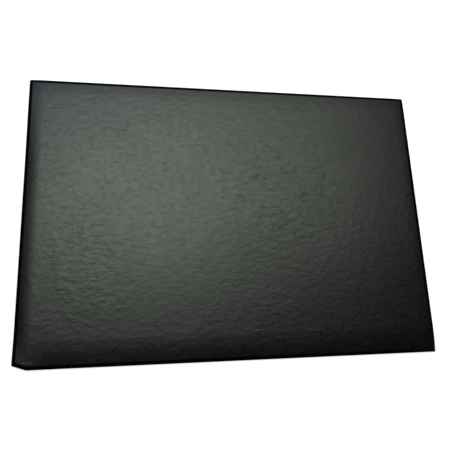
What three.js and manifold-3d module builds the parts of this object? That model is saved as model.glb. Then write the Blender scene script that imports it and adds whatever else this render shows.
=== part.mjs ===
// A padded desk mat: leatherette wrapped over foam and greyboard, its edges turned under and glued,
// and a felt backing that covers the turned edges.
//
// Units are millimetres. +X runs to the right, +Y to the back edge and +Z up.
// The origin is on the desk top, under the middle of the mat.

import * as THREE from 'three';
import * as BufferGeometryUtils from 'three/addons/utils/BufferGeometryUtils.js';
import Module from 'manifold-3d';

const wasm = await Module();
wasm.setup();

// Plan
const MAT_WIDTH = 650;
const MAT_DEPTH = 450;
const CORNER_RADIUS = 2.5;
const BLUNT_ALONG_FRONT = 20; // the front-left corner is tucked short, so it ends in a slanted edge
const BLUNT_ALONG_SIDE = 7;

// Layers, from the desk up
const BACKING_THICKNESS = 0.8;
const COVER_THICKNESS = 0.8;
const BOARD_THICKNESS = 2.0;
const FOAM_THICKNESS = 4.4;
const GLUE_LINE = 0.05; // between any two layers

// Edges
const HEM_WIDTH = 18; // how far the cover is turned under, from the mat's outer edge
const BACKING_INSET = 4; // the backing stops short of the mat's outer edge
const MITRE_GAP = 0.3; // the seam where two hems meet at a corner
const EDGE_GAP = 0.3; // between the cover's inside and the layers that it wraps
const CARD_GAP = 0.6; // between the card's edge and the hem's edge
const NOSE_REACH = 5.5; // the cover turns down over a blunt nose, this far from the edge
const NOSE_FALL = 2.7; // and by this much
const NOSE_FULLNESS = 0.2; // 0 is a straight bevel and 1 is a full curve

// The cover is pulled down harder on some sides than on others. On each side the padded top falls
// away to the edge over a width, by a drop, in the order of the sides of the plan.
const SIDE_ROLLS = [
  { side: 'blunted corner', width: 16, drop: 1.4 },
  { side: 'front', width: 44, drop: 3.3 },
  { side: 'right', width: 22, drop: 0.7 },
  { side: 'back', width: 34, drop: 1.0 },
  { side: 'left', width: 25, drop: 3.6 },
];

const HEM_BOTTOM = BACKING_THICKNESS + GLUE_LINE;
const HEM_TOP = HEM_BOTTOM + COVER_THICKNESS;
const BOARD_BOTTOM = HEM_TOP + GLUE_LINE;
const BOARD_TOP = BOARD_BOTTOM + BOARD_THICKNESS;
const FOAM_BOTTOM = BOARD_TOP + GLUE_LINE;
const FOAM_TOP = FOAM_BOTTOM + FOAM_THICKNESS;
const COVER_INSIDE_TOP = FOAM_TOP + GLUE_LINE;
const MAT_TOP = COVER_INSIDE_TOP + COVER_THICKNESS;

// Fineness
const CORNER_SEGMENTS = 10;
const ROLL_SEGMENTS = 12;
const SMALLEST_RADIUS = 0.4;
const OVERRUN = 20; // how far a cutting shape runs past what it cuts


// ---------------------------------------------------------------- solids and meshes

function toSolid(geometry) {
  const bare = geometry.clone();
  bare.deleteAttribute('normal');
  bare.deleteAttribute('uv');
  const merged = BufferGeometryUtils.mergeVertices(bare, 1e-4);
  return new wasm.Manifold(new wasm.Mesh({
    numProp: 3,
    vertProperties: new Float32Array(merged.attributes.position.array),
    triVerts: new Uint32Array(merged.index.array),
  }));
}

function toMesh(name, solid, material) {
  const { numProp, vertProperties, triVerts } = solid.getMesh();
  const shared = new THREE.BufferGeometry();
  shared.setAttribute('position', new THREE.BufferAttribute(vertProperties, numProp));
  shared.setIndex(new THREE.BufferAttribute(triVerts, 1));
  const faceted = shared.toNonIndexed(); // so that flat faces keep flat normals
  faceted.computeVertexNormals();
  const mesh = new THREE.Mesh(faceted, material);
  mesh.name = name;
  return mesh;
}


// ---------------------------------------------------------------- the plan outline

// The corners of the plan, anticlockwise from the blunted one, with every side moved in by inset.
function planCorners(inset) {
  const x = MAT_WIDTH / 2;
  const y = MAT_DEPTH / 2;
  const corners = [
    new THREE.Vector2(-x, -y + BLUNT_ALONG_SIDE),
    new THREE.Vector2(-x + BLUNT_ALONG_FRONT, -y),
    new THREE.Vector2(x, -y),
    new THREE.Vector2(x, y),
    new THREE.Vector2(-x, y),
  ];
  return corners.map((corner, i) => {
    const arriving = corner.clone().sub(corners.at(i - 1)).normalize();
    const leaving = corners[(i + 1) % corners.length].clone().sub(corner).normalize();
    const inwards = leaving.clone().sub(arriving).divideScalar(arriving.cross(leaving));
    return { point: corner.clone().addScaledVector(inwards, inset), arriving, leaving, inwards };
  });
}

// The plan outline as a shape with an arc at each corner.
function planShape(inset) {
  const radius = Math.max(CORNER_RADIUS - inset, SMALLEST_RADIUS);
  const shape = new THREE.Shape();
  for (const { point, arriving, leaving, inwards } of planCorners(inset)) {
    const centre = point.clone().addScaledVector(inwards, radius);
    const start = arriving.angle() - Math.PI / 2;
    const end = leaving.angle() - Math.PI / 2;
    shape.absarc(centre.x, centre.y, radius, start, end, false);
  }
  shape.closePath();
  return shape;
}

// A plate with upright edges, inset from the mat's outline.
function plate(inset, bottom, top) {
  const geometry = new THREE.ExtrudeGeometry(planShape(inset), {
    depth: top - bottom,
    bevelEnabled: false,
    curveSegments: CORNER_SEGMENTS,
  });
  geometry.translate(0, 0, bottom);
  return toSolid(geometry);
}


// ---------------------------------------------------------------- the rolled top edge

// The section that one side is trimmed to: x is 0 at the side and negative inside it, y is height.
// Its top is flat, falls towards the side as a parabola and turns down over the blunt nose.
// A section for an inner layer follows the same parabola and the same nose, further in.
function rollSection(roll, inset, top) {
  const inside = -(MAT_WIDTH + OVERRUN);
  const wall = 0.05; // just outside the plate's upright edge, which cuts the nose off there
  const slant = Math.hypot(NOSE_REACH, NOSE_FALL);
  const reach = NOSE_REACH - inset + inset * (slant - NOSE_REACH) / NOSE_FALL;
  const fall = NOSE_FALL - inset + inset * (slant - NOSE_FALL) / NOSE_REACH;
  const width = roll.width - inset;
  const drop = roll.drop * (width / roll.width) ** 2;
  const rolled = (distance) => top - drop * (1 - distance / width) ** 2;
  const bend = (1 - NOSE_FULLNESS) / 2; // how far along the nose its control point is from the side
  const section = new THREE.Shape();
  section.moveTo(inside, -OVERRUN);
  section.lineTo(wall, -OVERRUN);
  section.lineTo(wall, rolled(0) - fall);
  section.quadraticCurveTo(-reach * bend, rolled(reach * bend) - fall * bend, -reach, rolled(reach));
  section.quadraticCurveTo(-(reach + width) / 2, top, -width, top);
  section.lineTo(inside, top);
  section.closePath();
  return section;
}

// That section, run along the side from one corner of the plan to the next.
function rollBar(from, to, section) {
  const along = to.clone().sub(from).normalize();
  const overhang = MAT_WIDTH + OVERRUN;
  const geometry = new THREE.ExtrudeGeometry(section, {
    depth: to.distanceTo(from) + 2 * overhang,
    bevelEnabled: false,
    curveSegments: ROLL_SEGMENTS,
  });
  const start = to.clone().addScaledVector(along, overhang);
  const outwards = new THREE.Vector3(along.y, -along.x, 0);
  const up = new THREE.Vector3(0, 0, 1);
  const back = new THREE.Vector3(-along.x, -along.y, 0);
  const placed = new THREE.Matrix4().makeBasis(outwards, up, back);
  placed.setPosition(start.x, start.y, 0);
  geometry.applyMatrix4(placed);
  return toSolid(geometry);
}

// A plate whose top edge is rolled along every side. It can be cut off flat at a ceiling.
function rolledPlate(inset, bottom, top, ceiling = top + 1) {
  const corners = planCorners(inset);
  let solid = plate(inset, bottom, ceiling);
  SIDE_ROLLS.forEach((roll, i) => {
    const next = corners[(i + 1) % corners.length];
    solid = solid.intersect(rollBar(corners[i].point, next.point, rollSection(roll, inset, top)));
  });
  return solid;
}


// ---------------------------------------------------------------- the pieces

// A thin cut through the hem on the diagonal of each corner, short of the mat's outer edge.
function mitreCuts() {
  const outer = planCorners(2 * COVER_THICKNESS);
  const inner = planCorners(HEM_WIDTH + 1);
  return outer.map(({ point }, i) => {
    const diagonal = inner[i].point.clone().sub(point);
    const middle = inner[i].point.clone().add(point).multiplyScalar(0.5);
    const geometry = new THREE.BoxGeometry(diagonal.length(), MITRE_GAP, HEM_TOP);
    geometry.rotateZ(diagonal.angle());
    geometry.translate(middle.x, middle.y, HEM_TOP);
    return toSolid(geometry);
  });
}

// Leatherette skin: top, edges and the hem that is turned under, open inside the hem.
function coverSheet() {
  const outside = rolledPlate(0, HEM_BOTTOM, MAT_TOP);
  const inside = rolledPlate(COVER_THICKNESS, HEM_TOP, COVER_INSIDE_TOP);
  const window = plate(HEM_WIDTH, HEM_BOTTOM - 1, HEM_TOP + 1);
  const skin = outside.subtract(inside).subtract(window);
  return mitreCuts().reduce((solid, cut) => solid.subtract(cut), skin);
}

// Foam between the board and the cover, pressed thin along its edges by the cover.
function foamPad() {
  return rolledPlate(COVER_THICKNESS + EDGE_GAP, FOAM_BOTTOM, FOAM_TOP);
}

// The stiff board that keeps the mat flat, bevelled under the cover's nose.
function coreBoard() {
  const inset = COVER_THICKNESS + EDGE_GAP;
  return rolledPlate(inset, BOARD_BOTTOM, MAT_TOP - inset, BOARD_TOP);
}

// Card inside the hem, level with it, so that the backing lies flat.
function infillCard() {
  return plate(HEM_WIDTH + CARD_GAP, HEM_BOTTOM, HEM_TOP);
}

// Felt over the card and the hem: the face that the mat rests on.
function backingSheet() {
  return plate(BACKING_INSET, 0, BACKING_THICKNESS);
}


// ---------------------------------------------------------------- the mat

const leatherette = new THREE.MeshStandardMaterial({ color: 0x1b1c1a, roughness: 0.42, metalness: 0 });
const foam = new THREE.MeshStandardMaterial({ color: 0x4a4c4e, roughness: 0.95, metalness: 0 });
const greyboard = new THREE.MeshStandardMaterial({ color: 0x85807a, roughness: 0.9, metalness: 0 });
const card = new THREE.MeshStandardMaterial({ color: 0x9c958a, roughness: 0.9, metalness: 0 });
const felt = new THREE.MeshStandardMaterial({ color: 0x141414, roughness: 1, metalness: 0 });

const deskMat = new THREE.Group();
deskMat.add(toMesh('cover_sheet', coverSheet(), leatherette));
deskMat.add(toMesh('foam_pad', foamPad(), foam));
deskMat.add(toMesh('core_board', coreBoard(), greyboard));
deskMat.add(toMesh('infill_card', infillCard(), card));
deskMat.add(toMesh('backing_sheet', backingSheet(), felt));

export default deskMat;
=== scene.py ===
"""A padded desk mat on a white studio floor.

The mat is a leatherette skin stretched over foam and greyboard, turned under and glued as a hem,
with card inside the hem and a felt backing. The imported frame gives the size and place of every
layer. This script makes the skin, the foam and the felt as fine meshes, gives every piece a
procedural material, and sets the floor, the lights and the camera. Lengths are in metres: +X is
the mat's right, +Y its back edge and +Z up.
"""
import math
from collections import namedtuple

import bmesh
import bpy
import numpy as np
from mathutils import Matrix, Vector, noise


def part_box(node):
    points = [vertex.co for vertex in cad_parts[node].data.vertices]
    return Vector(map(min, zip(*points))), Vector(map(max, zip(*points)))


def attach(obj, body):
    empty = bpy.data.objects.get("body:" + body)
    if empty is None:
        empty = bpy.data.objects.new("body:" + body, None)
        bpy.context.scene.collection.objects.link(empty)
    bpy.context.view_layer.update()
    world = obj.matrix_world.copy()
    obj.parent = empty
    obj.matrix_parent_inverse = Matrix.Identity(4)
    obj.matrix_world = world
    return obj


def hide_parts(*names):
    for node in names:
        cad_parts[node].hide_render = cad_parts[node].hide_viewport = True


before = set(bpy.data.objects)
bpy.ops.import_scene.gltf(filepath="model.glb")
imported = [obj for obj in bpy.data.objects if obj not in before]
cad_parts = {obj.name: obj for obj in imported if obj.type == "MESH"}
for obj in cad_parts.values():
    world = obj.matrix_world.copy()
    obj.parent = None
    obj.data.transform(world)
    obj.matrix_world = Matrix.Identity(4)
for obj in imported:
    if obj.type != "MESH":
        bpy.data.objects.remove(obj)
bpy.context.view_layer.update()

MM = 0.001

# ------------------------------------------------------------------ driving dimensions

SKIN_LOW, SKIN_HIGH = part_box("cover_sheet")
FOAM_LOW, FOAM_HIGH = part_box("foam_pad")
FELT_LOW, FELT_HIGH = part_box("backing_sheet")

HALF_WIDTH = SKIN_HIGH.x
HALF_DEPTH = SKIN_HIGH.y
SKIN_THICKNESS = 0.8 * MM
HEM_WIDTH = 18 * MM
CORNER_RADIUS = 2.5 * MM
SMALLEST_RADIUS = 0.4 * MM
BLUNT_ALONG_FRONT = 20 * MM  # the front-left corner is tucked short, so it ends in a slanted edge
BLUNT_ALONG_SIDE = 7 * MM

NOSE_REACH = 5.5 * MM  # the skin turns down over a blunt nose, this far from the edge
NOSE_FALL = 2.7 * MM  # and by this much
NOSE_FULLNESS = 0.2  # 0 is a straight bevel and 1 is a full curve
RIGHT_NOSE = 1.5  # the nose is this much larger along the right
BACK_NOSE = 1.15  # and along the back
FOLD_RADIUS = 1.0 * MM  # where the upright edge turns under into the hem
MITRE_DEPTH = 0.45 * MM  # the groove where two hems meet at a corner
GLUE_LINE = 0.05 * MM
FOAM_EDGE = 0.2 * MM  # the foam is pressed this thin at its edge
FELT_ROUNDING = 0.2 * MM
FELT_RELIEF = 0.05 * MM
FELT_LUMPS = 6 * MM

# On each side the padded top falls away to the edge over a width, by a drop. The drop may start as
# a share of itself and grow. The sides are in anticlockwise order: the blunted corner, front, right,
# back and left.
SIDE_ROLLS = [
    (12 * MM, 0.5 * MM, 1.0),
    (44 * MM, 3.3 * MM, 1.0),
    (22 * MM, 0.7 * MM, 1.0),
    (34 * MM, 1.0 * MM, 1.0),
    (25 * MM, 3.6 * MM, 0.40),
]
ROLL_GROWTH = 180 * MM  # the length from the side's start over which its drop grows
DEEPEST_DROP = 3.8 * MM  # where the drops of two sides meet, they don't add up past this
PLUMP_RADIUS = 50 * MM  # the bunched skin fills the roll out this far around the blunted corner
PLUMPNESS = 0.7  # the share of the drop that it fills there

# Mesh fineness
GRID_MARGIN = 10 * MM  # the square grid of the top stops this far inside the edge
FINEST_STEP = 0.35 * MM
WIDEST_STEP = 2.4 * MM
STEP_GROWTH = 1.08
HIDDEN_EVERY = 9  # hidden faces use one grid line in so many, away from the corners
NOSE_RINGS = 8
HIDDEN_NOSE_RINGS = 4
ROLL_RINGS = 12
WALL_RINGS = 3
FOLD_RINGS = 4
HEM_RINGS = 4
HIDDEN_ROLL_RINGS = 3
FOAM_ROLL_RINGS = 5
ARC_SEGMENTS = 24


# ------------------------------------------------------------------ the plan outline

Corner = namedtuple("Corner", "point arriving leaving inwards")


def plan_corners(inset=0.0):
    """The plan's corners with every side moved in, anticlockwise from the slanted edge's left end."""
    x, y = HALF_WIDTH, HALF_DEPTH
    points = [
        Vector((-x, -y + BLUNT_ALONG_SIDE)),
        Vector((-x + BLUNT_ALONG_FRONT, -y)),
        Vector((x, -y)),
        Vector((x, y)),
        Vector((-x, y)),
    ]
    corners = []
    for i, point in enumerate(points):
        arriving = (point - points[i - 1]).normalized()
        leaving = (points[(i + 1) % len(points)] - point).normalized()
        inwards = (leaving - arriving) / arriving.cross(leaving)
        corners.append(Corner(point + inwards * inset, arriving, leaving, inwards))
    return corners


class Outline:
    """The plan's outline with rounded corners, measured anticlockwise along it from the middle of
    the slanted edge. Its marks are that middle, the middles of the three square corners, and the
    first middle again after the whole way round."""

    def __init__(self, inset=0.0):
        corners = plan_corners(inset)
        radius = max(CORNER_RADIUS - inset, SMALLEST_RADIUS)
        slant_middle = (corners[0].point + corners[1].point) / 2
        angle = math.atan2(-corners[0].leaving.x, corners[0].leaving.y)
        points, angles, middles = [slant_middle], [angle], []
        for corner in corners[1:] + corners[:1]:
            centre = corner.point + corner.inwards * radius
            turn = math.atan2(corner.arriving.cross(corner.leaving), corner.arriving.dot(corner.leaving))
            for k in range(ARC_SEGMENTS + 1):
                there = angle + turn * k / ARC_SEGMENTS
                points.append(centre + radius * Vector((math.cos(there), math.sin(there))))
                angles.append(there)
            angle += turn
            middles.append(len(points) - 1 - ARC_SEGMENTS // 2)
        points.append(slant_middle)
        angles.append(angle)
        self.xy = np.array([tuple(p) for p in points])
        self.angle = np.array(angles)
        steps = np.linalg.norm(np.diff(self.xy, axis=0), axis=1)
        self.along = np.concatenate([[0], np.cumsum(steps)])
        self.marks = [0, *self.along[middles[1:4]], self.along[-1]]

    def at(self, distance):
        """Points on the outline and the unit vectors that point out of it."""
        x = np.interp(distance, self.along, self.xy[:, 0])
        y = np.interp(distance, self.along, self.xy[:, 1])
        angle = np.interp(distance, self.along, self.angle)
        return np.stack([x, y], 1), np.stack([np.cos(angle), np.sin(angle)], 1)


class Grid:
    """Lines across the plan, close together at their ends, and the columns in which the grid's
    border runs out to an outline. A coarse grid keeps only some of the lines."""

    def __init__(self, lines_x, lines_y):
        self.xs, self.ys = lines_x, lines_y
        x0, x1, y0, y1 = lines_x[0], lines_x[-1], lines_y[0], lines_y[-1]
        across, up = lines_x[:-1], lines_y[:-1]
        back, down = lines_x[:0:-1], lines_y[:0:-1]
        self.runs = [
            np.stack([across, np.full(len(across), y0)], 1),
            np.stack([np.full(len(up), x1), up], 1),
            np.stack([back, np.full(len(back), y1)], 1),
            np.stack([np.full(len(down), x0), down], 1),
        ]
        self.border = np.concatenate(self.runs)

    def columns(self, outline):
        """Where each point of the border meets the outline, and the way out of it."""
        distances = []
        for side, run in enumerate(self.runs):
            along = np.linalg.norm(run - run[0], axis=1)
            whole = np.linalg.norm(self.runs[(side + 1) % 4][0] - run[0])
            start, end = outline.marks[side], outline.marks[side + 1]
            distances.append(start + (end - start) * along / whole)
        return outline.at(np.concatenate(distances))


def graded(half):
    """Grid lines from -half to half, close together at both ends and even in the middle."""
    ends = [0.0]
    step = FINEST_STEP
    while step < WIDEST_STEP:
        ends.append(ends[-1] + step)
        step *= STEP_GROWTH
    middle = 2 * (half - ends[-1])
    count = math.ceil(middle / WIDEST_STEP)
    even = [ends[-1] + middle * k / count for k in range(1, count)]
    return np.array(ends + even + [2 * half - e for e in reversed(ends)]) - half


def kept(lines):
    """Which lines a coarse grid keeps: nearly all at the ends, few in the middle."""
    near_end = np.abs(lines) > lines[-1] - GRID_MARGIN
    flags = np.arange(len(lines)) % HIDDEN_EVERY == 0
    flags[near_end] = np.arange(near_end.sum()) % 2 == 0
    flags[[0, -1]] = True
    return flags


GRID_X = graded(HALF_WIDTH - GRID_MARGIN)
GRID_Y = graded(HALF_DEPTH - GRID_MARGIN)
KEPT_X, KEPT_Y = kept(GRID_X), kept(GRID_Y)
FINE = Grid(GRID_X, GRID_Y)
COARSE = Grid(GRID_X[KEPT_X], GRID_Y[KEPT_Y])
KEPT_BORDER = np.concatenate([KEPT_X[:-1], KEPT_Y[:-1], KEPT_X[:0:-1], KEPT_Y[:0:-1]])
CORNER_COLUMNS = np.cumsum([0] + [len(run) for run in FINE.runs[:3]])


# ------------------------------------------------------------------ the shape of the top

def plan_sides():
    """Each side's outward normal, its distance from the middle of the mat, and where it starts."""
    sides = []
    for corner in plan_corners():
        normal = Vector((corner.leaving.y, -corner.leaving.x))
        sides.append((np.array(tuple(normal)), normal.dot(corner.point), np.array(tuple(corner.point))))
    return sides


SIDES = plan_sides()
OUTLINE = Outline()


def inside_of(side, xy):
    """How far points of the plan are inside one side."""
    normal, reach, _ = SIDES[side]
    return reach - xy @ normal


def along_side(side, xy):
    """How far points of the plan are along one side from where it starts."""
    normal, _, start = SIDES[side]
    return (xy - start) @ np.array([-normal[1], normal[0]])


def smooth(value, low, high):
    """0 below low, 1 above high and a smooth step between."""
    t = np.clip((value - low) / (high - low), 0, 1)
    return t * t * (3 - 2 * t)


def rolled_drop(xy):
    """How far the padded top has fallen at points of the plan, before it turns down at the nose."""
    left = np.ones(len(xy))
    for side, (width, drop, start_share) in enumerate(SIDE_ROLLS):
        share = np.clip(1 - inside_of(side, xy) / width, 0, 1) ** 2
        grown = smooth(along_side(side, xy), 0, ROLL_GROWTH)
        left *= 1 - drop / DEEPEST_DROP * share * (start_share + (1 - start_share) * grown)
    from_tuck = np.linalg.norm(xy - OUTLINE.xy[0], axis=1)
    filled = PLUMPNESS * (1 - smooth(from_tuck, 0, PLUMP_RADIUS))
    return DEEPEST_DROP * (1 - left) * (1 - filled)


# Creases of the skin, bunched where the blunted corner was tucked: how far inside the slanted edge,
# how far along it from its middle, length, turn in degrees, and height.
TUCK_CREASES = [
    (4.2 * MM, -2 * MM, 14 * MM, 4, 0.08 * MM),
    (6.8 * MM, 5 * MM, 16 * MM, -5, 0.14 * MM),
    (9.6 * MM, 10 * MM, 14 * MM, 9, 0.14 * MM),
    (6.4 * MM, -9 * MM, 7 * MM, 24, 0.12 * MM),
]
CREASE_WIDTH = 0.75 * MM


def tuck_creases(xy):
    """The height of the bunched creases near the blunted corner."""
    inside = inside_of(0, xy)
    along = along_side(0, xy) - math.hypot(BLUNT_ALONG_FRONT, BLUNT_ALONG_SIDE) / 2
    height = np.zeros(len(xy))
    for depth, place, length, turn, tall in TUCK_CREASES:
        c, s = math.cos(math.radians(turn)), math.sin(math.radians(turn))
        u = (along - place) * c + (inside - depth) * s
        v = (inside - depth) * c - (along - place) * s
        height += tall * np.exp(-((v / CREASE_WIDTH) ** 2) - (2 * u / length) ** 4)
    return height


# The grain stands out more in some parts of the top than in others: each patch's middle in
# millimetres from the mat's middle, its radius, and what it adds.
GRAIN_BASE = 0.5
GRAIN_PATCHES = [
    (-235, -85, 140, 0.6),
    (70, 30, 150, 0.8),
    (60, -160, 160, 0.25),
]
WRINKLE_LENGTH = 10 * MM
WRINKLE_HEIGHT = 0.07 * MM
SWELL_LENGTH = 60 * MM
SWELL_HEIGHT = 0.06 * MM
SMOOTH_EDGE = 24 * MM  # nearer its edges than this, the skin is drawn smoother
TIGHT_EDGE = 6 * MM  # nearer than this it is tight
TIGHT_GRAIN = 0.08  # the share of the grain's strength that is left where it is tight
FLAT_EDGE = 2 * MM  # and nearer than this it has no wrinkles
HEADROOM = 0.15 * MM  # below the skin's highest point, so that its relief stays under it


def grain_strength(xy):
    """How strongly the grain shows at points of the plan."""
    strength = np.full(len(xy), GRAIN_BASE)
    for x, y, radius, extra in GRAIN_PATCHES:
        gap = np.linalg.norm(xy / MM - (x, y), axis=1)
        strength += extra * (1 - smooth(gap, 0, radius))
    return strength


def noise_at(xy, length, layer):
    """Smooth noise between about -1 and 1 at points of the plan, with cells of that length. Each
    layer is a noise of its own."""
    return np.array([noise.noise(Vector((x, y, layer))) for x, y in xy / length])


def wrinkles(xy):
    """The skin's slow swells and small wrinkles, flattened where it is drawn over the edges."""
    from_edge = np.min([inside_of(side, xy) for side in range(len(SIDES))], axis=0)
    slack = smooth(from_edge, FLAT_EDGE, SMOOTH_EDGE)
    fine = noise_at(xy * [0.6, 1.1], WRINKLE_LENGTH, 3.7)
    swell = noise_at(xy, SWELL_LENGTH, 9.1)
    return slack * (WRINKLE_HEIGHT * grain_strength(xy) * fine + SWELL_HEIGHT * swell)


def plain_top(xy):
    """The height of the skin's outside at points of the plan, without relief."""
    return SKIN_HIGH.z - HEADROOM - rolled_drop(xy)


def skin_top(xy):
    """The height of the skin's outside at points of the plan."""
    return plain_top(xy) + wrinkles(xy) + tuck_creases(xy)


# ------------------------------------------------------------------ building closed meshes

class Shell:
    """The vertices and faces of one closed mesh, put together from rings and grids."""

    def __init__(self):
        self.points = []
        self.faces = []

    def ring(self, xy, z):
        """Adds points and returns their numbers."""
        first = len(self.points)
        self.points += [(x, y, h) for (x, y), h in zip(xy, np.broadcast_to(z, len(xy)))]
        return list(range(first, len(self.points)))

    def band(self, ring_a, ring_b):
        """Quads between two closed rings of as many points. Returns the second."""
        for i in range(len(ring_a)):
            j = (i + 1) % len(ring_a)
            self.faces.append((ring_a[i], ring_a[j], ring_b[j], ring_b[i]))
        return ring_b

    def thinning_band(self, ring_a, ring_b, flags):
        """Faces between a closed ring and one that has only its flagged columns."""
        places = [*np.flatnonzero(flags), len(ring_a)]
        for k in range(len(places) - 1):
            run = [ring_a[i % len(ring_a)] for i in range(places[k], places[k + 1] + 1)]
            self.faces.append((*run, ring_b[(k + 1) % len(ring_b)], ring_b[k]))
        return ring_b

    def fill(self, grid, height, ring):
        """A grid of quads inside a ring that is already there, as its border."""
        columns, rows = len(grid.xs), len(grid.ys)
        numbers = np.zeros((rows, columns), int)
        for border_part, start in (
            (numbers[0, :-1], 0),
            (numbers[:-1, -1], columns - 1),
            (numbers[-1, :0:-1], columns + rows - 2),
            (numbers[:0:-1, 0], 2 * columns + rows - 3),
        ):
            border_part[:] = ring[start:start + len(border_part)]
        x, y = np.meshgrid(grid.xs[1:-1], grid.ys[1:-1])
        xy = np.stack([x.ravel(), y.ravel()], 1)
        numbers[1:-1, 1:-1] = np.reshape(self.ring(xy, height(xy)), x.shape)
        corners = numbers[:-1, :-1], numbers[:-1, 1:], numbers[1:, 1:], numbers[1:, :-1]
        self.faces += list(zip(*(c.ravel().tolist() for c in corners)))

    def to_object(self, name, sharp_degrees=50):
        mesh = bpy.data.meshes.new(name)
        mesh.from_pydata(self.points, [], self.faces)
        mesh.validate()
        mesh.update()
        outward_faces(mesh)
        mesh.shade_smooth()
        mesh.set_sharp_from_angle(angle=math.radians(sharp_degrees))
        piece = bpy.data.objects.new(name, mesh)
        bpy.context.scene.collection.objects.link(piece)
        return piece


def outward_faces(mesh):
    """Turns every face of a closed mesh to point out."""
    shape = bmesh.new()
    shape.from_mesh(mesh)
    bmesh.ops.recalc_face_normals(shape, faces=shape.faces)
    shape.to_mesh(mesh)
    shape.free()


def steps(count, start, end):
    """Even steps from start, which is left out, to end."""
    return [start + (end - start) * k / count for k in range(1, count + 1)]


# ------------------------------------------------------------------ the pieces

def nose_scale():
    """How much larger the nose is on each of the fine grid's columns."""
    rightwards, backwards = np.maximum(FINE.columns(OUTLINE)[1], 0).T
    return 1 + (RIGHT_NOSE - 1) * rightwards**2 + (BACK_NOSE - 1) * backwards**2


NOSE_SCALE = nose_scale()


def rim(inset, nose=0.0):
    """Where the fine grid's columns meet the plan's outline moved in by an inset and by a part of the
    nose, which is scaled up along the right and the back."""
    here, _ = FINE.columns(Outline(inset + nose))
    if not nose:
        return here
    far, _ = FINE.columns(Outline(inset + nose * RIGHT_NOSE))
    return here + (far - here) * ((NOSE_SCALE - 1) / (RIGHT_NOSE - 1))[:, None]


def nose_inside(depth):
    """The nose's reach and fall on the surface that lies this deep under the skin's outside."""
    slant = math.hypot(NOSE_REACH, NOSE_FALL)
    reach = NOSE_REACH - depth + depth * (slant - NOSE_REACH) / NOSE_FALL
    fall = NOSE_FALL - depth + depth * (slant - NOSE_FALL) / NOSE_REACH
    return reach, fall


def nose_at(share, reach, fall):
    """A point part of the way down the nose: its inset from the side, and how far it has fallen."""
    bend = (1 - NOSE_FULLNESS) / 2
    start, middle, end = (1 - share) ** 2, 2 * share * (1 - share), share**2
    return reach * (start + bend * middle), fall * (bend * middle + end)


def leatherette_cover():
    """The skin: rolled top, nose, upright edge, fold, mitred hem, and the inside of all that."""
    shell = Shell()
    edge, out = FINE.columns(OUTLINE)
    window = rim(HEM_WIDTH)
    border = shell.ring(FINE.border, skin_top(FINE.border))
    shell.fill(FINE, skin_top, border)

    last = border
    nose_start = rim(0, NOSE_REACH)
    for share in steps(ROLL_RINGS, 0, 1):
        xy = FINE.border + (nose_start - FINE.border) * share
        last = shell.band(last, shell.ring(xy, skin_top(xy)))
    for share in steps(NOSE_RINGS, 0, 1):
        inset, fallen = nose_at(share, NOSE_REACH, NOSE_FALL)
        xy = rim(0, inset)
        last = shell.band(last, shell.ring(xy, skin_top(xy) - fallen * NOSE_SCALE))
    wall_top = skin_top(edge) - NOSE_FALL * NOSE_SCALE
    fold_top = SKIN_LOW.z + FOLD_RADIUS
    for share in steps(WALL_RINGS, 0, 1):
        last = shell.band(last, shell.ring(edge, wall_top + (fold_top - wall_top) * share))
    for turn in steps(FOLD_RINGS, 0, math.pi / 2):
        xy = edge - out * FOLD_RADIUS * (1 - math.cos(turn))
        last = shell.band(last, shell.ring(xy, fold_top - FOLD_RADIUS * math.sin(turn)))

    fold_end = edge - out * FOLD_RADIUS
    groove = np.zeros(len(edge))
    groove[CORNER_COLUMNS] = MITRE_DEPTH
    for share in steps(HEM_RINGS, 0, 1):
        xy = fold_end + (window - fold_end) * share
        last = shell.band(last, shell.ring(xy, SKIN_LOW.z + groove))

    hem_top = SKIN_LOW.z + SKIN_THICKNESS
    last = shell.thinning_band(last, shell.ring(window[KEPT_BORDER], hem_top), KEPT_BORDER)
    skin_inside(shell, last, hem_top)
    return shell.to_object("leatherette_cover")


def skin_inside(shell, last, hem_top):
    """The hidden inside of the skin, from the hem's top out to the edge and over the foam."""
    last = shell.band(last, shell.ring(rim(FOLD_RADIUS)[KEPT_BORDER], hem_top))
    inner_edge = rim(SKIN_THICKNESS)[KEPT_BORDER]
    last = shell.band(last, shell.ring(inner_edge, hem_top + FOLD_RADIUS - SKIN_THICKNESS))
    reach, fall = nose_inside(SKIN_THICKNESS)
    for share in steps(HIDDEN_NOSE_RINGS, 1, 0):
        inset, fallen = nose_at(share, reach, fall)
        xy = rim(SKIN_THICKNESS, inset)[KEPT_BORDER]
        under_nose = SKIN_THICKNESS + fallen * NOSE_SCALE[KEPT_BORDER]
        last = shell.band(last, shell.ring(xy, plain_top(xy) - under_nose))
    nose_start = rim(SKIN_THICKNESS, reach)[KEPT_BORDER]
    for share in steps(HIDDEN_ROLL_RINGS, 0, 1):
        xy = nose_start + (COARSE.border - nose_start) * share
        last = shell.band(last, shell.ring(xy, plain_top(xy) - SKIN_THICKNESS))
    shell.fill(COARSE, lambda xy: plain_top(xy) - SKIN_THICKNESS, last)


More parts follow.
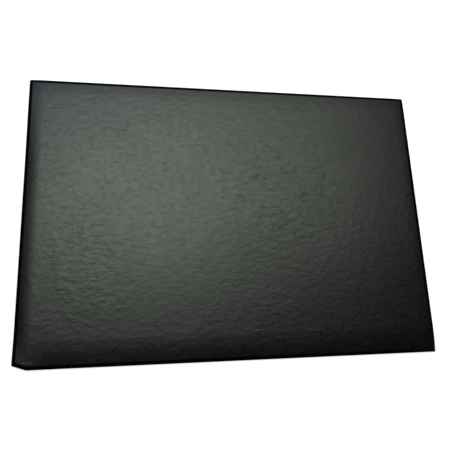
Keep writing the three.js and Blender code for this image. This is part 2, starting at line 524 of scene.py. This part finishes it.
def padding_foam():
    """The foam pad: crowned under the skin and pressed thin along its edges."""
    shell = Shell()
    bottom = FOAM_LOW.z
    edge, out = COARSE.columns(Outline(NOSE_REACH * RIGHT_NOSE))

    def top(xy):
        crown = plain_top(xy) - SKIN_THICKNESS - GLUE_LINE
        return np.maximum(crown, bottom + FOAM_EDGE)

    border = shell.ring(COARSE.border, top(COARSE.border))
    shell.fill(COARSE, top, border)
    last = border
    for share in steps(FOAM_ROLL_RINGS, 0, 1):
        xy = COARSE.border + (edge - out * FOAM_EDGE - COARSE.border) * share
        last = shell.band(last, shell.ring(xy, top(xy)))
    last = shell.band(last, shell.ring(edge, (top(edge) + bottom) / 2))
    last = shell.band(last, shell.ring(edge, bottom))
    under = shell.band(last, shell.ring(COARSE.border, bottom))
    shell.fill(COARSE, lambda xy: np.full(len(xy), bottom), under)
    return shell.to_object("padding_foam")


def backing_felt():
    """The felt under the mat, a little uneven on both faces and rounded at its cut edge."""
    shell = Shell()
    low, high = FELT_LOW.z, FELT_HIGH.z
    edge, out = COARSE.columns(Outline(HALF_WIDTH - FELT_HIGH.x))

    def under(xy):
        return low + FELT_RELIEF * (0.5 + 0.5 * noise_at(xy, FELT_LUMPS, 1.3))

    def over(xy):
        return high - FELT_RELIEF * (0.5 + 0.5 * noise_at(xy, FELT_LUMPS, 5.9))

    border = shell.ring(COARSE.border, over(COARSE.border))
    shell.fill(COARSE, over, border)
    rounded = edge - out * FELT_ROUNDING
    last = shell.band(border, shell.ring(rounded, over(rounded)))
    last = shell.band(last, shell.ring(edge, high - FELT_ROUNDING))
    last = shell.band(last, shell.ring(edge, low + FELT_ROUNDING))
    last = shell.band(last, shell.ring(rounded, under(rounded)))
    last = shell.band(last, shell.ring(COARSE.border, under(COARSE.border)))
    shell.fill(COARSE, under, last)
    return shell.to_object("backing_felt")


# ------------------------------------------------------------------ materials

class Nodes:
    """Makes and links the nodes of a material or of the world."""

    def __init__(self, tree):
        self.tree = tree

    def node(self, kind, output, inputs, **settings):
        """Adds a node with these settings, fills or links its inputs and returns an output."""
        made = self.tree.nodes.new(kind)
        for name, value in settings.items():
            setattr(made, name, value)
        for name, value in inputs.items():
            self.put(made.inputs[name], value)
        return made.outputs[output]

    def put(self, socket, value):
        """Links a node's output to a socket, or sets the socket's own value."""
        if isinstance(value, bpy.types.NodeSocket):
            self.tree.links.new(value, socket)
        else:
            socket.default_value = value

    def maths(self, operation, a, b):
        return self.node("ShaderNodeMath", "Value", {0: a, 1: b}, operation=operation)

    def vectors(self, operation, *values, **named):
        inputs = {**dict(enumerate(values)), **named}
        return self.node("ShaderNodeVectorMath", "Vector", inputs, operation=operation)

    def between(self, value, low, high, to_low=0.0, to_high=1.0):
        """Value mapped from one range to another, smoothly, and held at its ends."""
        inputs = {"Value": value, "From Min": low, "From Max": high, "To Min": to_low, "To Max": to_high}
        return self.node("ShaderNodeMapRange", "Result", inputs, interpolation_type="SMOOTHSTEP")

    def colours(self, factor, *stops):
        """A colour ramp of (position, colour) stops."""
        ramp = self.tree.nodes.new("ShaderNodeValToRGB")
        while len(ramp.color_ramp.elements) < len(stops):
            ramp.color_ramp.elements.new(0.5)
        for element, (position, colour) in zip(ramp.color_ramp.elements, stops):
            element.position = position
            element.color = (*colour, 1)
        self.put(ramp.inputs["Fac"], factor)
        return ramp.outputs["Color"]


class Finish(Nodes):
    """A procedural material in the making. Its coordinates are the piece's own, in millimetres."""

    def __init__(self, name, **shader_values):
        self.material = bpy.data.materials.new(name)
        self.material.use_nodes = True
        super().__init__(self.material.node_tree)
        self.shader = self.tree.nodes["Principled BSDF"]
        for socket, value in shader_values.items():
            self.shader.inputs[socket.replace("_", " ")].default_value = value
        place = self.node("ShaderNodeTexCoord", "Object", {})
        self.coordinates = self.vectors("SCALE", place, Scale=1 / MM)

    def noise(self, size, detail=2.0, roughness=0.5, stretch=(1, 1, 1), output="Fac"):
        """Cloudy noise from 0 to 1, with features of that size in millimetres."""
        vector = self.vectors("MULTIPLY", self.coordinates, [1 / (size * s) for s in stretch])
        inputs = {"Vector": vector, "Scale": 1.0, "Detail": detail, "Roughness": roughness}
        return self.node("ShaderNodeTexNoise", output, inputs)

    def contours(self, value, level, width):
        """0 where a value is at a level, and 1 where it is further from it than a width."""
        gap = self.maths("ABSOLUTE", self.maths("SUBTRACT", value, level), 0.0)
        return self.between(gap, 0.0, width)

    def cells(self, vector, size, feature):
        """Distances in a pattern of irregular cells of that size in millimetres."""
        inputs = {"Vector": vector, "Scale": 1 / size}
        return self.node("ShaderNodeTexVoronoi", "Distance", inputs, feature=feature)

    def near(self, x, y, radius, most):
        """The most at a place on the piece, falling to 0 at a radius from it, in millimetres."""
        inputs = {0: self.coordinates, 1: (x, y, 0)}
        gap = self.node("ShaderNodeVectorMath", "Value", inputs, operation="DISTANCE")
        return self.between(gap, 0.0, radius, most, 0.0)

    def bumps(self, *layers):
        """Stacks bump layers of (height from 0 to 1, depth in metres) on the shader's normal."""
        normal = None
        for height, depth in layers:
            bump = self.tree.nodes.new("ShaderNodeBump")
            bump.inputs["Distance"].default_value = depth
            self.put(bump.inputs["Height"], height)
            if normal:
                self.put(bump.inputs["Normal"], normal)
            normal = bump.outputs["Normal"]
        self.put(self.shader.inputs["Normal"], normal)


# The leatherette's grain: the sizes of its features in millimetres, and how deep they are
FOLD_SIZE, FOLD_DEPTH = 8.0, 0.38 * MM
CREASE_SPACING, CREASE_DEPTH = 13.0, 0.10 * MM
CREASED_AREAS = 24.0
PEBBLE_SIZE, PEBBLE_DEPTH = 4.2, 0.07 * MM
SMALL_CELL_SIZE, SMALL_CELL_DEPTH = 1.3, 0.010 * MM
CELL_WARP_SIZE, CELL_WARP = 5.0, 5.0  # the cells are pushed about, so that none has straight sides
PORE_SIZE, PORE_DEPTH = 0.35, 0.002 * MM

# Creases follow one contour of a noise, and show only where another noise is high
CREASE_LEVEL, CREASE_SPREAD = 0.5, 0.045
CREASED_FROM, CREASED_FULLY = 0.48, 0.62
# The creases' colour is darker than the skin's: painted shade in the creases
PAINTED_CREASE_SHADE = (0.0014,) * 3
SKIN_BLACK = (0.0026,) * 3

# The leatherette's roughness varies slowly between two values, spots and dashes add to it, and the
# nose takes some away
ROUGHNESS_RANGE, CLOUD_SIZE = (0.335, 0.355), 85.0
SPOT_ROUGHNESS, SPOT_SIZE = 0.05, 8.0
DASH_ROUGHNESS, DASH_SIZE = 0.12, 6.0
NOSE_ROUGHNESS = -0.14
NOSE_POLISH = (3.5, 6.5)  # millimetres inside the edge, where the higher polish starts to fade and ends


def leatherette_finish():
    """Black coated leatherette: soft folds and pebbles with creases between, polished unevenly, with
    painted shade darkening the creases.
    """
    finish = Finish("leatherette", Roughness=0.37, Specular_IOR_Level=0.5)
    inside = from_sides(finish)
    strength = grain_on(finish, inside)
    folds = finish.noise(FOLD_SIZE, detail=1.0, stretch=(1.5, 0.95, 1))
    lines = finish.noise(CREASE_SPACING, detail=2.0, stretch=(1.6, 0.75, 1))
    creases = finish.contours(lines, CREASE_LEVEL, CREASE_SPREAD)
    creased = finish.between(finish.noise(CREASED_AREAS, detail=1.0), CREASED_FROM, CREASED_FULLY)
    pebbles, small_cells = leatherette_cells(finish)
    finish.bumps(
        (finish.maths("MULTIPLY", folds, strength), FOLD_DEPTH),
        (finish.maths("MULTIPLY", finish.maths("MULTIPLY", creases, creased), strength), CREASE_DEPTH),
        (finish.maths("SUBTRACT", 1.0, pebbles), PEBBLE_DEPTH),
        (finish.maths("SUBTRACT", 1.0, small_cells), SMALL_CELL_DEPTH),
        (finish.noise(PORE_SIZE, detail=1.0), PORE_DEPTH),
    )
    finish.put(finish.shader.inputs["Roughness"], leatherette_roughness(finish, strength, inside))
    # The base colour is darker along the creases: painted shade in them
    colour = finish.colours(creases, (0.0, PAINTED_CREASE_SHADE), (1.0, SKIN_BLACK))
    finish.put(finish.shader.inputs["Base Color"], colour)
    return finish.material


def leatherette_cells(finish):
    """Distances in the pattern of pebbles, which are a little longer across the mat, and in the
    pattern of small cells on them."""
    push = finish.vectors("SUBTRACT", finish.noise(CELL_WARP_SIZE, output="Color"), (0.5, 0.5, 0.5))
    warped = finish.vectors("MULTIPLY_ADD", push, (CELL_WARP,) * 3, finish.coordinates)
    stretched = finish.vectors("MULTIPLY", warped, (0.85, 1.1, 1.0))
    pebbles = finish.cells(stretched, PEBBLE_SIZE, "SMOOTH_F1")
    return pebbles, finish.cells(warped, SMALL_CELL_SIZE, "SMOOTH_F1")


def from_sides(finish):
    """How far inside the mat's sides a point of the leatherette is, in millimetres."""
    parts = {"Vector": finish.vectors("ABSOLUTE", finish.coordinates)}
    across = finish.maths("SUBTRACT", HALF_WIDTH / MM, finish.node("ShaderNodeSeparateXYZ", "X", parts))
    up = finish.maths("SUBTRACT", HALF_DEPTH / MM, finish.node("ShaderNodeSeparateXYZ", "Y", parts))
    return finish.maths("MINIMUM", across, up)


def grain_on(finish, inside):
    """The strength of the grain over the top, fading where the skin is drawn smooth at its edges."""
    strength = GRAIN_BASE
    for x, y, radius, extra in GRAIN_PATCHES:
        strength = finish.maths("ADD", strength, finish.near(x, y, radius, extra))
    slack = finish.between(inside, TIGHT_EDGE / MM, SMOOTH_EDGE / MM, TIGHT_GRAIN, 1.0)
    return finish.maths("MULTIPLY", strength, slack)


def leatherette_roughness(finish, strength, inside):
    """Slow clouds of polish, small duller spots, dull dashes where the skin was creased, and a
    higher polish where it is drawn tight over the nose."""
    clouds = finish.noise(CLOUD_SIZE, detail=3.0)
    spots = finish.noise(SPOT_SIZE, detail=1.0, stretch=(1.2, 0.9, 1))
    dashes = finish.noise(DASH_SIZE, detail=2.0, stretch=(2.4, 0.6, 1))
    cloudy = finish.between(clouds, 0.3, 0.7, *ROUGHNESS_RANGE)
    spotted = finish.between(spots, 0.3, 0.7, 0.0, SPOT_ROUGHNESS)
    dashed = finish.between(dashes, 0.58, 0.70, 0.0, DASH_ROUGHNESS)
    dull = finish.maths("ADD", spotted, finish.maths("MULTIPLY", dashed, strength))
    tight = finish.between(inside, *NOSE_POLISH, NOSE_ROUGHNESS, 0.0)
    return finish.maths("ADD", finish.maths("ADD", cloudy, dull), tight)


def foam_finish():
    """Closed-cell foam, dark grey."""
    finish = Finish("foam", Roughness=0.95)
    cells = finish.cells(finish.coordinates, 0.6, "F1")
    finish.bumps((cells, 0.25 * MM), (finish.noise(3.0), 0.2 * MM))
    colour = finish.colours(cells, (0.0, (0.035, 0.037, 0.04)), (0.7, (0.085, 0.088, 0.092)))
    finish.put(finish.shader.inputs["Base Color"], colour)
    return finish.material


def board_finish(name, dark, light, fibre):
    """Pressed paper board: pale and dark fibres in a plain ground."""
    finish = Finish(name, Roughness=0.9)
    ground = finish.noise(9.0, detail=4.0, roughness=0.65)
    strands = finish.noise(fibre, detail=3.0, stretch=(2.6, 0.6, 1))
    blend = finish.maths("MULTIPLY", finish.maths("ADD", ground, strands), 0.5)
    finish.bumps((strands, 0.05 * MM), (ground, 0.04 * MM))
    finish.put(finish.shader.inputs["Base Color"], finish.colours(blend, (0.35, dark), (0.65, light)))
    return finish.material


def felt_finish():
    """Black needle felt: matted fibres with a soft sheen."""
    finish = Finish("felt", Roughness=1.0, Sheen_Weight=0.25, Sheen_Roughness=0.5)
    matted = finish.noise(1.6, detail=4.0, roughness=0.7)
    strands = finish.noise(0.5, detail=2.0, stretch=(3.0, 0.7, 1))
    finish.bumps((matted, 0.3 * MM), (strands, 0.15 * MM))
    colour = finish.colours(matted, (0.3, (0.006, 0.006, 0.0065)), (0.7, (0.022, 0.022, 0.023)))
    finish.put(finish.shader.inputs["Base Color"], colour)
    return finish.material


def paint(piece, material):
    """Gives a piece one material."""
    piece.data.materials.clear()
    piece.data.materials.append(material)


# ------------------------------------------------------------------ floor, light and camera

FLOOR_RADIUS = 12.0
WALL_CURVE = 4.0
WALL_HEIGHT = 30.0
SWEEP_SEGMENTS = 96
SWEEP_GREY = 0.45
SWEEP_GLOW = 0.82


def pale_sweep():
    """A white studio sweep: a round floor that curves up into a wall. It glows a little, so that it
    stays white right up to the mat, and the mat's edges don't mirror it."""
    curve = [math.radians(angle) for angle in range(0, 91, 6)]
    profile = [(FLOOR_RADIUS + WALL_CURVE * math.sin(a), WALL_CURVE * (1 - math.cos(a))) for a in curve]
    profile.append((FLOOR_RADIUS + WALL_CURVE, WALL_HEIGHT))
    around = [2 * math.pi * k / SWEEP_SEGMENTS for k in range(SWEEP_SEGMENTS)]
    sweep = Shell()
    rings = [sweep.ring([(r * math.cos(a), r * math.sin(a)) for a in around], z) for r, z in profile]
    sweep.faces.append(tuple(rings[0]))
    for low, high in zip(rings, rings[1:]):
        sweep.band(high, low)
    stage = sweep.to_object("sweep")
    paint(stage, sweep_finish())
    stage.visible_glossy = False
    stage.visible_diffuse = False


def sweep_finish():
    """White paper, lit from within."""
    finish = Finish("sweep", Roughness=1.0, Specular_IOR_Level=0.0, Emission_Strength=SWEEP_GLOW)
    finish.shader.inputs["Base Color"].default_value = (SWEEP_GREY, SWEEP_GREY, SWEEP_GREY, 1)
    finish.shader.inputs["Emission Color"].default_value = (1, 1, 1, 1)
    return finish.material


# Each light panel's middle, width, depth, radiance and colour. Two wide panels light the mat from
# the left and the back, and the window is a fainter blue light behind them at the left.
SOFTBOXES = {
    "left_softbox": ((-0.365, 0.46, 1.55), 1.17, 0.97, 2.4, (0.90, 1.0, 0.87)),
    "back_softbox": ((0.155, 0.775, 1.60), 1.71, 1.12, 3.2, (0.91, 1.0, 0.87)),
    "window": ((-0.70, 1.35, 1.65), 1.00, 0.50, 1.2, (0.05, 0.25, 1.0)),
}


def softbox(name, place, width, depth, radiance, colour):
    """A soft light panel that faces straight down."""
    lamp = bpy.data.lights.new(name, "AREA")
    lamp.shape = "RECTANGLE"
    lamp.size, lamp.size_y = width, depth
    lamp.energy = radiance * width * depth * math.pi
    lamp.color = colour
    panel = bpy.data.objects.new(name, lamp)
    panel.location = place
    panel.visible_camera = False
    bpy.context.scene.collection.objects.link(panel)


HORIZON_LIGHT = 0.012
GLOW_DIRECTION = (0.84, -0.48, 0.26)
GLOW_SPREAD = (0.92, 0.99)  # the cosines of the angles where the glow starts and is full
GLOW_LIGHT = 0.55


def studio_room():
    """The dark room behind the lights: a little light near the horizon, a dim glow to the front
    right, which the mat mirrors when it is seen from behind, and none overhead."""
    world = bpy.data.worlds.new("room")
    bpy.context.scene.world = world
    world.use_nodes = True
    nodes = Nodes(world.node_tree)
    direction = nodes.node("ShaderNodeTexCoord", "Generated", {})
    upwards = nodes.node("ShaderNodeSeparateXYZ", "Z", {"Vector": direction})
    black, dim = (0.0,) * 3, (HORIZON_LIGHT,) * 3
    horizon = nodes.colours(upwards, (0.0, black), (0.01, dim), (0.2, dim), (0.5, black))
    inputs = {0: direction, 1: GLOW_DIRECTION}
    towards = nodes.node("ShaderNodeVectorMath", "Value", inputs, operation="DOT_PRODUCT")
    glow = nodes.between(towards, *GLOW_SPREAD, 0.0, GLOW_LIGHT)
    background = world.node_tree.nodes["Background"]
    nodes.put(background.inputs["Color"], nodes.maths("ADD", horizon, glow))


CAMERA_PLACE = Vector((-0.1438, -0.1913, 0.7284))
CAMERA_AIM = Vector((-0.0162, -0.0160, 0.009))
CAMERA_ROLL = -2.18  # degrees, from the level in which the mat's back edge is up
CAMERA_LENS = 37.73  # millimetres, on a 36 mm sensor


def photo_camera():
    """The camera, above the mat's front left and looking down on its middle."""
    data = bpy.data.cameras.new("camera")
    data.lens = CAMERA_LENS
    camera = bpy.data.objects.new("camera", data)
    away = (CAMERA_PLACE - CAMERA_AIM).normalized()
    right = Vector((0, 1, 0)).cross(away).normalized()
    level = Matrix((right, away.cross(right), away)).transposed().to_4x4()
    roll = Matrix.Rotation(math.radians(CAMERA_ROLL), 4, "Z")
    camera.matrix_world = Matrix.Translation(CAMERA_PLACE) @ level @ roll
    bpy.context.scene.collection.objects.link(camera)
    bpy.context.scene.camera = camera


# ------------------------------------------------------------------ the scene

def make_mat():
    """Makes the soft pieces and finishes all five."""
    cover, foam, felt = leatherette_cover(), padding_foam(), backing_felt()
    for piece, node, slot, material in (
        (cover, "cover_sheet", "leatherette", leatherette_finish()),
        (foam, "foam_pad", "foam", foam_finish()),
        (felt, "backing_sheet", "felt", felt_finish()),
    ):
        paint(piece, material)
        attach(piece, "root")
        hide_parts(node)
    board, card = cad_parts["core_board"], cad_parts["infill_card"]
    paint(board, board_finish("greyboard", (0.13, 0.125, 0.12), (0.3, 0.29, 0.275), 0.8))
    paint(card, board_finish("card", (0.26, 0.23, 0.19), (0.42, 0.38, 0.32), 0.5))


photo_camera()
make_mat()
pale_sweep()
for panel_name, panel in SOFTBOXES.items():
    softbox(panel_name, *panel)
studio_room()
bpy.context.scene.view_settings.view_transform = "Standard"
